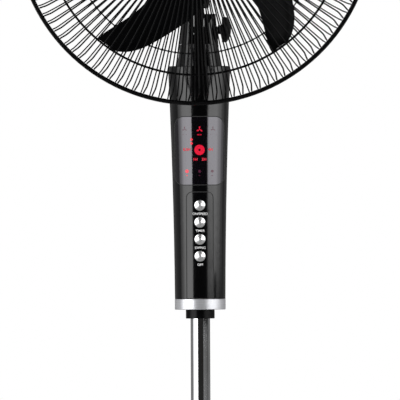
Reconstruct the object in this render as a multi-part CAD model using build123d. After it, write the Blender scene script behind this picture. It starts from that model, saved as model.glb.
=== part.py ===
from build123d import *
import os
from math import acos, cos, pi, radians, sin, sqrt, tan

# Pedestal fan, millimetres. +Z is up and the air leaves towards -Y. The origin is the point of
# the floor under the pole's axis. Everything is drawn at the rest height, head level and straight.

os.makedirs("parts", exist_ok=True)

# ---- driving dimensions -------------------------------------------------------------------
HUB_Z = 1100.0                # height of the fan shaft
FAN_X = -5.0                  # the shaft runs beside the pole axis, to clear the swing gearing
RUN = 0.05                    # radial clearance of a running fit
GAP = 0.04                    # gap left between welded or pressed pieces

GUARD_R = 220.0               # outside of the guard's rim band
RIM_Y = -125.0                # middle of the rim band
RIM_WIDTH = 12.0
RIBS = 120                    # wires in each half of the guard
RIB_STEP = 360.0 / RIBS
FRONT_RIB_R = 0.95
REAR_RIB_R = 0.8
BLADE_TIP_R = 184.0
BLADES = 5

TILT_Z = HUB_Z - 125.0        # tilt bolt
YOKE_BASE_Z = HUB_Z - 143.0   # reveal between neck cover and yoke
SHOULDER_Z = HUB_Z - 170.0    # flat top of the control column
TRIM_TOP_Z = HUB_Z - 457.0    # silver ring
TRIM_BOTTOM_Z = HUB_Z - 470.0
COLLAR_Z = HUB_Z - 481.0      # lower end of the pole collar

SHOULDER_R = 38.45
COLUMN_MID_R = 33.4
COLUMN_FOOT_R = 31.15
SHELL = 2.5                   # wall of the column shells
SKIN = 1.2                    # thickness of the window and the button strip

POLE_R = 12.0                 # inner, sliding pole
POLE_END_Z = 250.0
POLE_TOP_Z = COLLAR_Z + 81.0
TUBE_R = 15.0                 # outer, standing pole
TUBE_BORE_R = 13.5
TUBE_TOP_Z = 420.0
BASE_R = 200.0
BASE_TOP_Z = 40.0
FOOT_H = 4.0


# ---- helpers ------------------------------------------------------------------------------
def turn_z(*points):
    """A solid of revolution about the pole axis, from (radius, height) points."""
    return revolve(Plane.XZ * make_face(Polyline(*points, close=True)), Axis.Z)


def on_fan_axis(shape):
    """Moves a shape drawn about the Y axis to the fan shaft."""
    return Pos(FAN_X, 0, HUB_Z) * shape


def turn_fan(*points):
    """A solid of revolution about the fan shaft, from (radius, y) points."""
    return on_fan_axis(revolve(make_face(Polyline(*points, close=True)), Axis.Y))


def ring_fan(radius, y, wire_r):
    """A round wire ring about the fan shaft."""
    return on_fan_axis(Pos(0, y, 0) * Rot(90, 0, 0) * Torus(radius, wire_r))


def rod(start, end, radius):
    """A round bar between two points."""
    a = Vector(start)
    b = Vector(end)
    plane = Plane(origin=a, z_dir=b - a)
    return extrude(plane * Circle(radius), (b - a).length)


def block(x0, x1, y0, y1, z0, z1):
    """A box between two corners."""
    centre = Pos((x0 + x1) / 2, (y0 + y1) / 2, (z0 + z1) / 2)
    return centre * Box(x1 - x0, y1 - y0, z1 - z0)


def save(name, *solids):
    """Writes one sub-part, made of one or more solids."""
    pieces = []
    for solid in solids:
        pieces.extend(solid.solids())
    shape = pieces[0] if len(pieces) == 1 else Compound(pieces)
    export_step(shape, "parts/" + name + ".step")


# ---- base ---------------------------------------------------------------------------------
LIP = 2.6                     # wall of the moulded base cover
SOCKET_R = 27.0
FLANGE_R = 48.0
FLANGE_TOP_Z = 12.0
PLATE_TOP_Z = FOOT_H + 2.5
SOCKET_TOP_Z = 97.0
POLE_SEAT_Z = 14.0
FOOT_COUNT = 6
MIDDLE_PAD_R = 25.0
BASE_SCREWS = 4
SCREW_CIRCLE_R = 38.0
M5_R = 2.4


def base_cover():
    """Low moulded dome with a central hole for the pole socket."""
    rim_z = 13.0
    hole = SOCKET_R + 0.4
    outer = Line((BASE_R, FOOT_H), (BASE_R, rim_z))
    crown = ThreePointArc((BASE_R, rim_z), (0.62 * BASE_R, 31.5), (hole, BASE_TOP_Z))
    throat = Line((hole, BASE_TOP_Z), (hole, BASE_TOP_Z - LIP))
    under = ThreePointArc(
        (hole, BASE_TOP_Z - LIP), (0.61 * BASE_R, 31.5 - LIP), (BASE_R - LIP, rim_z - 1)
    )
    inner = Line((BASE_R - LIP, rim_z - 1), (BASE_R - LIP, FOOT_H))
    foot = Line((BASE_R - LIP, FOOT_H), (BASE_R, FOOT_H))
    profile = make_face([outer, crown, throat, under, inner, foot])
    dome = revolve(Plane.XZ * profile, Axis.Z)
    edge = dome.edges().filter_by(GeomType.CIRCLE).sort_by(lambda e: -e.radius)
    shoulder = [e for e in edge if abs(e.center().Z - rim_z) < 0.1 and e.radius > BASE_R - 1]
    return fillet(shoulder, 3.0)


def base_plate():
    """Flat pan that closes the cover from below."""
    pan = turn_z((0, FOOT_H), (BASE_R - LIP - 0.2, FOOT_H),
                 (BASE_R - LIP - 0.2, PLATE_TOP_Z), (0, PLATE_TOP_Z))
    for spot in PolarLocations(SCREW_CIRCLE_R, BASE_SCREWS):
        pan -= Pos(0, 0, FOOT_H) * spot * Cylinder(4.8, 20)
    return pan


def base_weight():
    """Cast ring that keeps the fan upright."""
    inner, outer, low, high = 60.0, 140.0, PLATE_TOP_Z + 0.1, PLATE_TOP_Z + 10.1
    return turn_z((inner, low), (outer, low), (outer, high - 3), (outer - 3, high),
                  (inner + 2, high), (inner, high - 2))


def base_feet():
    """Rubber pads under the pan: one in the middle and a ring of smaller ones."""
    height = FOOT_H - GAP
    pads = [Pos(0, 0, height / 2) * Cylinder(MIDDLE_PAD_R, height)]
    for spot in PolarLocations(180.0, FOOT_COUNT):
        pads.append(Pos(0, 0, height / 2) * spot * Cylinder(11, height))
    return [fillet(pad.edges().group_by(Axis.Z)[0], 0.8) for pad in pads]


def base_socket():
    """Holder of the standing pole: flange inside the base, tapered sleeve above it."""
    low = PLATE_TOP_Z + GAP
    body = turn_z((0, low), (FLANGE_R, low), (FLANGE_R, FLANGE_TOP_Z), (SOCKET_R, FLANGE_TOP_Z),
                  (SOCKET_R, BASE_TOP_Z + 3), (SOCKET_R - 3, BASE_TOP_Z + 8),
                  (TUBE_R + 6, SOCKET_TOP_Z - 3), (TUBE_R + 4, SOCKET_TOP_Z),
                  (TUBE_R + GAP, SOCKET_TOP_Z), (TUBE_R + GAP, POLE_SEAT_Z), (0, POLE_SEAT_Z))
    for spot in PolarLocations(SCREW_CIRCLE_R, BASE_SCREWS):
        body -= Pos(0, 0, low) * spot * Cylinder(M5_R + GAP, 9.4)
    return body


def base_screws():
    """Screws from below through the pan into the socket flange."""
    screws = []
    low, seat = FOOT_H + 0.1, PLATE_TOP_Z - 0.1
    for spot in PolarLocations(SCREW_CIRCLE_R, BASE_SCREWS):
        head = Pos(0, 0, (low + seat) / 2) * spot * Cylinder(4.5, seat - low)
        shank = Pos(0, 0, (seat + 10.5) / 2) * spot * Cylinder(M5_R, 10.5 - seat)
        cross = Pos(0, 0, low) * spot * (Box(5, 1, 1.6) + Box(1, 5, 1.6))
        screws.append(head + shank - cross)
    return screws


# ---- standing pole and height clamp -------------------------------------------------------
CLAMP_Z = 400.0
CLAMP_STUD_R = 4.0
BUSH_LOW_Z = TUBE_TOP_Z - 36
CLAMP_FACE_X = 34.0


def outer_pole():
    """Standing tube, with the hole that lets the clamp stud reach the bush."""
    low = POLE_SEAT_Z + GAP
    tube = turn_z((TUBE_BORE_R, low), (TUBE_R, low), (TUBE_R, TUBE_TOP_Z),
                  (TUBE_BORE_R, TUBE_TOP_Z))
    return tube - rod((10, 0, CLAMP_Z), (20, 0, CLAMP_Z), CLAMP_STUD_R + 0.6)


def pole_bush():
    """Plastic sleeve in the mouth of the tube that the inner pole slides in."""
    bore = POLE_R + RUN
    lip = TUBE_TOP_Z + GAP
    return turn_z((bore, BUSH_LOW_Z), (TUBE_BORE_R - GAP, BUSH_LOW_Z),
                  (TUBE_BORE_R - GAP, lip), (TUBE_R, lip), (TUBE_R, lip + 3),
                  (bore + 0.6, lip + 3), (bore, lip + 2.4))


def height_clamp():
    """Collar over the tube's mouth, with a threaded boss at one side."""
    low, high = TUBE_TOP_Z - 46, TUBE_TOP_Z + 9
    lid = TUBE_TOP_Z + 3.3
    body = turn_z((TUBE_R + GAP, low), (TUBE_R + 3.5, low), (TUBE_R + 6.5, low + 8),
                  (TUBE_R + 7, high - 8), (TUBE_R + 3, high), (POLE_R + 0.6, high),
                  (POLE_R + 0.6, lid), (TUBE_R + GAP, lid))
    boss = rod((TUBE_R + 3, 0, CLAMP_Z), (CLAMP_FACE_X, 0, CLAMP_Z), 9.5)
    stud_hole = rod((0, 0, CLAMP_Z), (CLAMP_FACE_X + 1, 0, CLAMP_Z), CLAMP_STUD_R + RUN)
    inside = Pos(0, 0, CLAMP_Z) * Cylinder(TUBE_R + GAP, 34)
    return body + (boss - inside) - stud_hole


def knob_grip(x0, radius, thickness, lobes, notch_r):
    """Round hand knob about the X axis, scalloped all round, with a crowned face."""
    core = extrude(Plane(origin=(x0, 0, 0), z_dir=(1, 0, 0)) * Circle(radius), thickness)
    face = core.faces().sort_by(Axis.X)[-1]
    core = fillet(face.edges(), thickness * 0.3)
    for i in range(lobes):
        a = 360.0 * i / lobes
        y = (radius + notch_r * 0.62) * cos(radians(a))
        z = (radius + notch_r * 0.62) * sin(radians(a))
        core -= rod((x0 - 1, y, z), (x0 + thickness + 1, y, z), notch_r)
    return core


def height_knob_stud():
    """Steel stud that presses the bush onto the inner pole."""
    return rod((TUBE_BORE_R + 0.3, 0, CLAMP_Z), (CLAMP_FACE_X + 12, 0, CLAMP_Z), CLAMP_STUD_R)


def height_knob_grip():
    """Hand knob on the stud."""
    grip = Pos(0, 0, CLAMP_Z) * knob_grip(CLAMP_FACE_X + 1.5, 19.0, 15.0, 7, 6.5)
    bore = rod((CLAMP_FACE_X, 0, CLAMP_Z), (CLAMP_FACE_X + 12 + GAP, 0, CLAMP_Z),
               CLAMP_STUD_R + GAP)
    return grip - bore


# ---- sliding pole and control column ------------------------------------------------------
def column_core(inset):
    """The filled shape of the column, its side drawn in by an inset."""
    low = TRIM_TOP_Z + 0.1
    mid = (low + SHOULDER_Z) / 2
    side = Spline((COLUMN_FOOT_R - inset, low), (COLUMN_MID_R - inset, mid),
                  (SHOULDER_R - inset, SHOULDER_Z))
    top = Line((SHOULDER_R - inset, SHOULDER_Z), (0, SHOULDER_Z))
    axis = Line((0, SHOULDER_Z), (0, low))
    foot = Line((0, low), (COLUMN_FOOT_R - inset, low))
    return revolve(Plane.XZ * make_face([side, top, axis, foot]), Axis.Z)


def column_radius(z):
    """Radius of the column at a height, on the hollow line of its side."""
    low = TRIM_TOP_Z + 0.1
    mid = (low + SHOULDER_Z) / 2
    half = (SHOULDER_Z - low) / 2
    mean = (SHOULDER_R + COLUMN_FOOT_R) / 2
    sag = (mean - COLUMN_MID_R) * (1 - ((z - mid) / half) ** 2)
    return mean + (SHOULDER_R - COLUMN_FOOT_R) * (z - mid) / (2 * half) - sag


WINDOW_W = 61.0
WINDOW_TOP_Z = HUB_Z - 232.4
WINDOW_LOW_Z = HUB_Z - 316.6
WINDOW_CORNER = 11.0
STRIP_W = 33.0
STRIP_TOP_Z = HUB_Z - 325.2
STRIP_LOW_Z = TRIM_TOP_Z + 0.6
STRIP_CORNER = 7.0
BUTTON_R = 6.65
BUTTON_TRAVEL = 1.2
BUTTON_TOP_Z = HUB_Z - 341.6
BUTTON_STEP = 20.9
BUTTON_NAMES = ("speed", "timer", "swing", "off")
BUTTON_Z = [BUTTON_TOP_Z - BUTTON_STEP * i for i in range(len(BUTTON_NAMES))]
SCREW_PLACES = [(side * x, z) for side in (-1, 1) for x, z in ((21.3, 676.0), (25.0, 885.0))]
GLAND_Z = 725.0
YOKE_STEM_R = 21.0
YOKE_FLANGE_R = 31.0
YOKE_FLANGE_Z = SHOULDER_Z - 14.0
BOARD_Y = -18.6               # front face of the control board


def front_plane(z):
    """Upright sketch plane just before the pole axis, facing forward."""
    return Plane(origin=(0, -5, z), x_dir=(1, 0, 0), z_dir=(0, -1, 0))


def window_prism(grow, reach=45.0):
    """Prism of the display window's front outline, grown by a margin."""
    height = WINDOW_TOP_Z - WINDOW_LOW_Z
    mid = (WINDOW_TOP_Z + WINDOW_LOW_Z) / 2
    outline = RectangleRounded(WINDOW_W + 2 * grow, height + 2 * grow, WINDOW_CORNER + grow)
    return extrude(front_plane(mid) * outline, reach)


def strip_prism(grow, reach=45.0):
    """Prism of the button strip's front outline, grown by a margin."""
    height = STRIP_TOP_Z - STRIP_LOW_Z + 10
    mid = (STRIP_TOP_Z + STRIP_LOW_Z - 10) / 2
    outline = RectangleRounded(STRIP_W + 2 * grow, height + 2 * grow, STRIP_CORNER + grow)
    prism = extrude(front_plane(mid) * outline, reach)
    return prism & block(-40, 40, -60, 0, STRIP_LOW_Z - grow, STRIP_TOP_Z + 2)


def shell_halves():
    """Front and rear shells of the column, parted at the sides, with their screw posts."""
    wall = column_core(0) - (column_core(SHELL) & block(-60, 60, -60, 60, 0, SHOULDER_Z - 3.5))
    wall -= Pos(0, 0, SHOULDER_Z) * Cylinder(YOKE_STEM_R + 0.3, 20)
    top_edge = [e for e in wall.edges().filter_by(GeomType.CIRCLE)
                if abs(e.center().Z - SHOULDER_Z) < 0.01 and abs(e.radius - SHOULDER_R) < 0.01]
    wall = fillet(top_edge, 1.4)
    inside = column_core(SHELL - 0.5)
    posts = [rod((x, -40, z), (x, 40, z), 3.8) & inside for x, z in SCREW_PLACES]
    for post in posts:
        wall += post
    front = wall & block(-60, 60, -60, -GAP, 0, 1200)
    rear = wall & block(-60, 60, GAP, 60, 0, 1200)
    for x, z in SCREW_PLACES:
        front -= rod((x, -9, z), (x, 1, z), 1.6)
        rear -= rod((x, -1, z), (x, 40, z), 1.8)
        rear -= rod((x, 12, z), (x, 40, z), 3.1)
    pocket = column_core(-1) - column_core(SKIN + 0.1)
    front -= pocket & window_prism(0.15)
    front -= window_prism(-9.0)
    front -= pocket & strip_prism(0.15)
    for z in BUTTON_Z:
        front -= rod((0, -50, z), (0, -15, z), BUTTON_R + 0.35)
    rear -= rod((0, 20, GLAND_Z), (0, 45, GLAND_Z), 6.5 + GAP)
    return front, rear


def shell_screws():
    """Screws that pull the rear shell to the front one."""
    screws = []
    for x, z in SCREW_PLACES:
        head = rod((x, 12 + GAP, z), (x, 14.2, z), 2.8)
        shank = rod((x, 12 + GAP, z), (x, -8.5, z), 1.5)
        slot = block(x - 2, x + 2, 13.4, 15, z - 0.4, z + 0.4)
        slot += block(x - 0.4, x + 0.4, 13.4, 15, z - 2, z + 2)
        screws.append(head + shank - slot)
    return screws


def display_window():
    """Smoked glossy window, curved with the column."""
    return (column_core(0) - column_core(SKIN)) & window_prism(0)


def button_strip():
    """Curved strip below the window, with the four button holes."""
    strip = (column_core(0) - column_core(SKIN)) & strip_prism(0)
    for z in BUTTON_Z:
        strip -= rod((0, -50, z), (0, -15, z), BUTTON_R + 0.35)
    return strip


def push_button(z):
    """Round metal-faced button with a dished face, a stop flange and a stem."""
    face_y = -(column_radius(z) + 1.6)
    cap = rod((0, -26.0, z), (0, face_y, z), BUTTON_R)
    cap = chamfer(cap.faces().sort_by(Axis.Y)[0].edges(), 0.5)
    dish_r = 30.0
    cap -= Pos(0, face_y - dish_r + 0.5, z) * Sphere(dish_r)
    flange = rod((0, -27.2, z), (0, -25.6, z), 8.0)
    stem = rod((0, -26, z), (0, BOARD_Y - 5.3, z), 3.0)
    return cap + flange + stem


def control_board():
    """Printed board behind the window and the buttons."""
    return block(-16.5, 16.5, BOARD_Y, BOARD_Y + 1.6, 668, 900)


def tact_switches():
    """One small switch under each button's stem."""
    switches = []
    for z in BUTTON_Z:
        body = block(-3, 3, BOARD_Y - 3.3, BOARD_Y - GAP, z - 3, z + 3)
        plunger_end = BOARD_Y - 5.3 + BUTTON_TRAVEL + 0.1
        switches.append(body + rod((0, BOARD_Y - 3.3, z), (0, plunger_end, z), 1.7))
    return switches


def inner_pole():
    """Sliding tube under the control column."""
    return turn_z((POLE_R - 1.2, POLE_END_Z), (POLE_R, POLE_END_Z), (POLE_R, POLE_TOP_Z),
                  (POLE_R - 1.2, POLE_TOP_Z))


def pole_stop():
    """Guide sleeve pressed on the sliding tube's lower end."""
    low, high = POLE_END_Z + 2, POLE_END_Z + 30
    return turn_z((POLE_R + GAP, low), (TUBE_BORE_R - RUN, low), (TUBE_BORE_R - RUN, high),
                  (POLE_R + GAP, high))


COLLAR_R = 17.75


def pole_collar():
    """Socket that takes the top of the sliding pole; its lower end shows below the trim ring."""
    flange_z = TRIM_BOTTOM_Z + 3
    bore = POLE_R + GAP
    roof = POLE_TOP_Z + 0.3
    return turn_z((bore, COLLAR_Z), (COLLAR_R - 0.6, COLLAR_Z), (COLLAR_R, COLLAR_Z + 0.6),
                  (COLLAR_R, flange_z), (27.4, flange_z), (27.4, flange_z + 5), (15.4, flange_z + 5),
                  (15.4, roof + 4), (0, roof + 4), (0, roof), (bore, roof))


def trim_ring():
    """Bright metal cup that closes the column's foot."""
    low, high = TRIM_BOTTOM_Z, TRIM_TOP_Z
    outer = COLUMN_FOOT_R + 0.1
    return turn_z((COLLAR_R + 0.15, low), (outer - 0.6, low), (outer, low + 0.6),
                  (outer, high - 0.3), (outer - 0.3, high), (27.8, high), (27.8, low + 2),
                  (COLLAR_R + 0.15, low + 2))


def cord_gland():
    """Bushed inlet in the rear shell, left empty."""
    back = column_radius(GLAND_Z)
    body = rod((0, back - 5, GLAND_Z), (0, back + 2.5, GLAND_Z), 6.5)
    body += rod((0, back + 1.0, GLAND_Z), (0, back + 3.5, GLAND_Z), 8.5)
    body += rod((0, back - 6.5, GLAND_Z), (0, back - 4.0, GLAND_Z), 8.0)
    return body - rod((0, back - 10, GLAND_Z), (0, back + 10, GLAND_Z), 3.4)


# ---- neck, yoke and tilt joint ------------------------------------------------------------
EAR_R = 19.5
SLOT_HALF = 6.3
TONGUE_HALF = 6.0
BARREL_R = 17.0
TILT_BOLT_R = 4.0
KNOB_X = 28.2
NECK_FOOT_R = 28.3
NECK_TOP_R = 24.2


def neck_cover():
    """Flared cover between the shoulder and the yoke."""
    low = SHOULDER_Z + 0.1
    high = YOKE_BASE_Z - 0.5
    outer = ThreePointArc((NECK_FOOT_R, low), (25.3, low + 0.45 * (high - low)),
                          (NECK_TOP_R, high))
    top = Line((NECK_TOP_R, high), (YOKE_STEM_R + 0.2, high))
    bore = Line((YOKE_STEM_R + 0.2, high), (YOKE_STEM_R + 0.2, low))
    foot = Line((YOKE_STEM_R + 0.2, low), (NECK_FOOT_R, low))
    return revolve(Plane.XZ * make_face([outer, top, bore, foot]), Axis.Z)


def neck_yoke():
    """Stem and flange held by the shells, and two round ears for the tilt bolt."""
    top_z = TILT_Z + EAR_R
    flange_low = YOKE_FLANGE_Z
    flange_top = SHOULDER_Z - 3.5 - GAP
    stem = turn_z((0, flange_low), (YOKE_FLANGE_R, flange_low), (YOKE_FLANGE_R, flange_top),
                  (YOKE_STEM_R, flange_top), (YOKE_STEM_R, YOKE_BASE_Z), (0, YOKE_BASE_Z))
    head = turn_z((0, YOKE_BASE_Z), (24.0, YOKE_BASE_Z), (20.5, top_z), (0, top_z))
    barrel = rod((-30, 0, TILT_Z), (30, 0, TILT_Z), EAR_R)
    below = block(-30, 30, -EAR_R, EAR_R, YOKE_BASE_Z, TILT_Z)
    ears = head & (barrel + below)
    yoke = stem + ears
    slot_floor = TILT_Z - BARREL_R - 0.6
    yoke -= block(-SLOT_HALF, SLOT_HALF, -30, 30, TILT_Z, top_z + 5)
    yoke -= rod((-SLOT_HALF, 0, TILT_Z), (SLOT_HALF, 0, TILT_Z), TILT_Z - slot_floor)
    yoke -= block(-SLOT_HALF, SLOT_HALF, -30, 30, TILT_Z - 6, TILT_Z + 1)
    yoke -= rod((-40, 0, TILT_Z), (40, 0, TILT_Z), TILT_BOLT_R + GAP)
    yoke -= rod((-40, 0, TILT_Z), (-19, 0, TILT_Z), 7.2)
    yoke -= Pos(0, 0, flange_low) * Cylinder(9, 80)
    return yoke


def tilt_bolt():
    """Bolt through ears and tongue; the tilt knob runs on its threaded end."""
    shank = rod((-19.0 - GAP, 0, TILT_Z), (KNOB_X + 8, 0, TILT_Z), TILT_BOLT_R)
    head = rod((-21.5, 0, TILT_Z), (-19.0 - GAP, 0, TILT_Z), 6.8)
    return shank + head


def tilt_knob():
    """Hand knob of the tilt joint: scalloped rim, domed face and a short hub."""
    radius = 15.6
    rim_x = KNOB_X + 5.6
    tip_x = KNOB_X + 11.3
    profile = make_face([
        Line((KNOB_X, 0), (KNOB_X, radius)),
        Line((KNOB_X, radius), (rim_x, radius)),
        ThreePointArc((rim_x, radius), (rim_x + 3.9, radius * 0.62), (tip_x, 2.5)),
        Line((tip_x, 2.5), (tip_x, 0)),
        Line((tip_x, 0), (KNOB_X, 0)),
    ])
    grip = revolve(profile, Axis.X)
    grips = 14
    for i in range(grips):
        a = radians(360.0 * i / grips)
        y, z = (radius + 1.1) * cos(a), (radius + 1.1) * sin(a)
        grip -= rod((KNOB_X - 1, y, z), (tip_x + 1, y, z), 1.7)
    hub = rod((23.4, 0, TILT_Z), (KNOB_X + 0.5, 0, TILT_Z), 5.6)
    bore = rod((20, 0, TILT_Z), (KNOB_X + 8.3, 0, TILT_Z), TILT_BOLT_R + RUN)
    return Pos(0, 0, TILT_Z) * grip + hub - bore


BOSS_R = 12.3
BOSS_LOW_Z = HUB_Z - 98.5
BOSS_TOP_Z = HUB_Z - 81.0
SPINDLE_R = 7.0
SPINDLE_TOP_Z = HUB_Z - 60.5


def tilt_bracket():
    """Tongue between the ears, and the boss that carries the swing spindle."""
    barrel = rod((-TONGUE_HALF, 0, TILT_Z), (TONGUE_HALF, 0, TILT_Z), BARREL_R)
    web = block(-TONGUE_HALF, TONGUE_HALF, -10.5, 10.5, TILT_Z, BOSS_LOW_Z + 2)
    boss = turn_z((0, BOSS_LOW_Z), (BOSS_R - 1, BOSS_LOW_Z), (BOSS_R, BOSS_LOW_Z + 1),
                  (BOSS_R, BOSS_TOP_Z), (0, BOSS_TOP_Z))
    body = barrel + web + boss
    body -= rod((-20, 0, TILT_Z), (20, 0, TILT_Z), TILT_BOLT_R + RUN)
    return body - Pos(0, 0, BOSS_TOP_Z) * Cylinder(SPINDLE_R + GAP, 26)


def swing_spindle():
    """Upright steel spindle that the head turns on."""
    low = BOSS_TOP_Z - 12.9
    return turn_z((0, low), (SPINDLE_R, low), (SPINDLE_R, SPINDLE_TOP_Z - 0.8),
                  (SPINDLE_R - 0.8, SPINDLE_TOP_Z), (0, SPINDLE_TOP_Z))


# ---- swing gearing ------------------------------------------------------------------------
MODULE = 1.0
SECTOR_TEETH = 54
PINION_TEETH = 18
PRESSURE = 20.0
BACKLASH = 0.12
GEAR_Y = MODULE * (SECTOR_TEETH + PINION_TEETH) / 2
SECTOR_LOW_Z = HUB_Z - 67.0
SECTOR_TOP_Z = HUB_Z - 62.0
SECTOR_HALF_ANGLE = 54.0
CASE_LOW_Z = BOSS_TOP_Z + 0.6
CASE_TOP_Z = HUB_Z - 60.0
LID_TOP_Z = HUB_Z - 57.4
CASE_WALL = 2.5
PINION_SHAFT_Z = CASE_LOW_Z + 6


def flank(base_r, radius):
    """Roll angle of the involute at a radius."""
    if radius <= base_r:
        return 0.0
    return tan(acos(base_r / radius)) - acos(base_r / radius)


def gear_face(teeth):
    """Outline of a spur gear with one tooth centred on +Y."""
    pitch_r = MODULE * teeth / 2
    base_r = pitch_r * cos(radians(PRESSURE))
    root_r = pitch_r - 1.25 * MODULE
    tip_r = pitch_r + 0.95 * MODULE
    start_r = max(root_r, base_r)
    half = (pi * MODULE / 2 - BACKLASH) / (2 * pitch_r) + flank(base_r, pitch_r)
    points = []
    steps = 5
    for tooth in range(teeth):
        centre = pi / 2 + 2 * pi * tooth / teeth
        side = [(root_r, half)]
        for k in range(steps):
            radius = start_r + (tip_r - start_r) * k / (steps - 1)
            side.append((radius, half - flank(base_r, radius)))
        for radius, angle in side:
            points.append((radius * cos(centre - angle), radius * sin(centre - angle)))
        for radius, angle in reversed(side):
            points.append((radius * cos(centre + angle), radius * sin(centre + angle)))
    return make_face(Polyline(*points, close=True))


def sector_gear():
    """Toothed sector keyed on the spindle."""
    reach = 60.0
    a = radians(SECTOR_HALF_ANGLE)
    wedge = make_face(Polyline((0, -4), (reach * sin(a), reach * cos(a)), (0, reach),
                               (-reach * sin(a), reach * cos(a)), close=True))
    plan = (gear_face(SECTOR_TEETH) & wedge) + Circle(11.0) - Circle(SPINDLE_R + GAP)
    for side in (-1, 1):
        plan -= Pos(side * 9.5, 15.5) * Circle(3.0)
    return Pos(0, 0, SECTOR_LOW_Z) * extrude(plan, SECTOR_TOP_Z - SECTOR_LOW_Z)


def swing_pinion():
    """Pinion and output shaft of the swing motor."""
    half_tooth = 180.0 / PINION_TEETH
    wheel = Rot(0, 0, half_tooth) * extrude(gear_face(PINION_TEETH), 6.0)
    wheel = Pos(0, GEAR_Y, SECTOR_LOW_Z - 0.5) * wheel
    shaft = rod((0, GEAR_Y, PINION_SHAFT_Z), (0, GEAR_Y, SECTOR_TOP_Z + 1), 2.5)
    return wheel + shaft


def case_outline(inset):
    """Plan of the gear case, drawn in by an inset."""
    return Pos(0, 16.0) * RectangleRounded(68 - 2 * inset, 80 - 2 * inset, 17 - inset)


def gear_case():
    """Tray under the motor that turns on the spindle and holds the swing motor."""
    height = CASE_TOP_Z - CASE_LOW_Z
    case = Pos(0, 0, CASE_LOW_Z) * extrude(case_outline(0), height)
    case = fillet(case.edges().group_by(Axis.Z)[0], 2.0)
    case -= Pos(0, 0, CASE_LOW_Z + CASE_WALL) * extrude(case_outline(CASE_WALL), height)
    case += Pos(0, 0, CASE_LOW_Z + 5) * Cylinder(12.3, 10)
    return case - Pos(0, 0, CASE_LOW_Z) * Cylinder(9.5 + GAP, 40)


def gear_case_lid():
    """Flat lid of the gear case."""
    low = CASE_TOP_Z + GAP
    return Pos(0, 0, low) * extrude(case_outline(0.3), LID_TOP_Z - low)


def swing_bush():
    """Bronze bush between case and spindle."""
    low = CASE_LOW_Z + 0.2
    return turn_z((SPINDLE_R + RUN, low), (9.5, low), (9.5, low + 10.4),
                  (SPINDLE_R + RUN, low + 10.4))


def swing_motor():
    """Small geared synchronous motor in the tray."""
    low = CASE_LOW_Z + CASE_WALL + GAP
    high = SECTOR_LOW_Z - 1.2
    body = Pos(0, GEAR_Y, (low + high) / 2) * Cylinder(14.0, high - low)
    body += block(-20.5, 20.5, GEAR_Y - 4, GEAR_Y + 4, high - 1.2, high)
    return body - rod((0, GEAR_Y, PINION_SHAFT_Z - 0.4), (0, GEAR_Y, high + 1), 2.5 + RUN)


# ---- fan motor ----------------------------------------------------------------------------
CORE_FRONT_Y = -20.5
CORE_BACK_Y = 9.5
ROTOR_R = 27.0
STATOR_R = 45.9
STATOR_BORE_R = 27.35
SHAFT_R = 4.0
BEARING_R = 7.0
SHAFT_FRONT_Y = -130.0
SHAFT_BACK_Y = 38.0
PIN_Y = -80.0
PIN_R = 1.5
COVER_R = 57.0
COVER_FRONT_Y = -42.0
COVER_BACK_Y = 84.0
COVER_WALL = 2.4
FACE_Y = -52.0                # front face of the motor's front cover
NOSE_R = 15.0
NOSE_Y = -67.0


def motor_stator():
    """Laminated ring of the shaded-pole motor, with open slots on its bore."""
    ring = turn_fan((STATOR_BORE_R, CORE_FRONT_Y), (STATOR_R, CORE_FRONT_Y),
                    (STATOR_R, CORE_BACK_Y), (STATOR_BORE_R, CORE_BACK_Y))
    slots = 8
    for i in range(slots):
        cut = Rot(0, 360.0 * i / slots, 0) * block(-2.5, 2.5, -40, 30, 20, 36)
        ring -= on_fan_axis(cut)
    return ring


def motor_windings():
    """Coil heads at both ends of the stator."""
    coils = []
    for low, high in ((CORE_FRONT_Y - 12.5, CORE_FRONT_Y - GAP),
                      (CORE_BACK_Y + GAP, CORE_BACK_Y + 12.5)):
        coil = turn_fan((29.5, low), (41.5, low), (41.5, high), (29.5, high))
        coils.append(fillet(coil.edges(), 3.5))
    return coils


def motor_front_bell():
    """Cast front end of the motor, with its bearing boss."""
    disc_y = CORE_FRONT_Y - 14.5
    return turn_fan((BEARING_R + GAP, -46), (11, -46), (11, disc_y - 3), (46.5, disc_y - 3),
                    (46.5, CORE_FRONT_Y - GAP), (43.6, CORE_FRONT_Y - GAP), (43.6, disc_y),
                    (BEARING_R + GAP, disc_y))


def motor_rear_bell():
    """Cast rear end of the motor; its foot stands on the gear case."""
    disc_y = CORE_BACK_Y + 14.5
    bell = turn_fan((BEARING_R + GAP, disc_y), (43.6, disc_y), (43.6, CORE_BACK_Y + GAP),
                    (46.5, CORE_BACK_Y + GAP), (46.5, disc_y + 3), (11, disc_y + 3), (11, 37),
                    (BEARING_R + GAP, 37))
    foot = block(FAN_X - 15, FAN_X + 15, disc_y - 1, disc_y + 7, LID_TOP_Z + GAP, HUB_Z - 30)
    bore = on_fan_axis(rod((0, disc_y - 5, 0), (0, disc_y, 0), 43.6))
    return bell + (foot - bore)


def motor_bearings():
    """Sintered sleeve bearings at both ends of the shaft."""
    front = turn_fan((SHAFT_R + RUN, -45.5), (BEARING_R, -45.5), (BEARING_R, -36.5),
                     (SHAFT_R + RUN, -36.5))
    rear = turn_fan((SHAFT_R + RUN, 26), (BEARING_R, 26), (BEARING_R, 36), (SHAFT_R + RUN, 36))
    return front, rear


def cover_profile(inset):
    """Half section of the motor cover's outside, drawn in by an inset."""
    back = COVER_BACK_Y - inset
    side = COVER_R - inset
    return make_face([Line((0, COVER_FRONT_Y), (side, COVER_FRONT_Y)),
                      Line((side, COVER_FRONT_Y), (side, 12)),
                      TangentArc((side, 12), (16, back), tangent=(0, 1)),
                      Line((16, back), (0, back)), Line((0, back), (0, COVER_FRONT_Y))])


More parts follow.
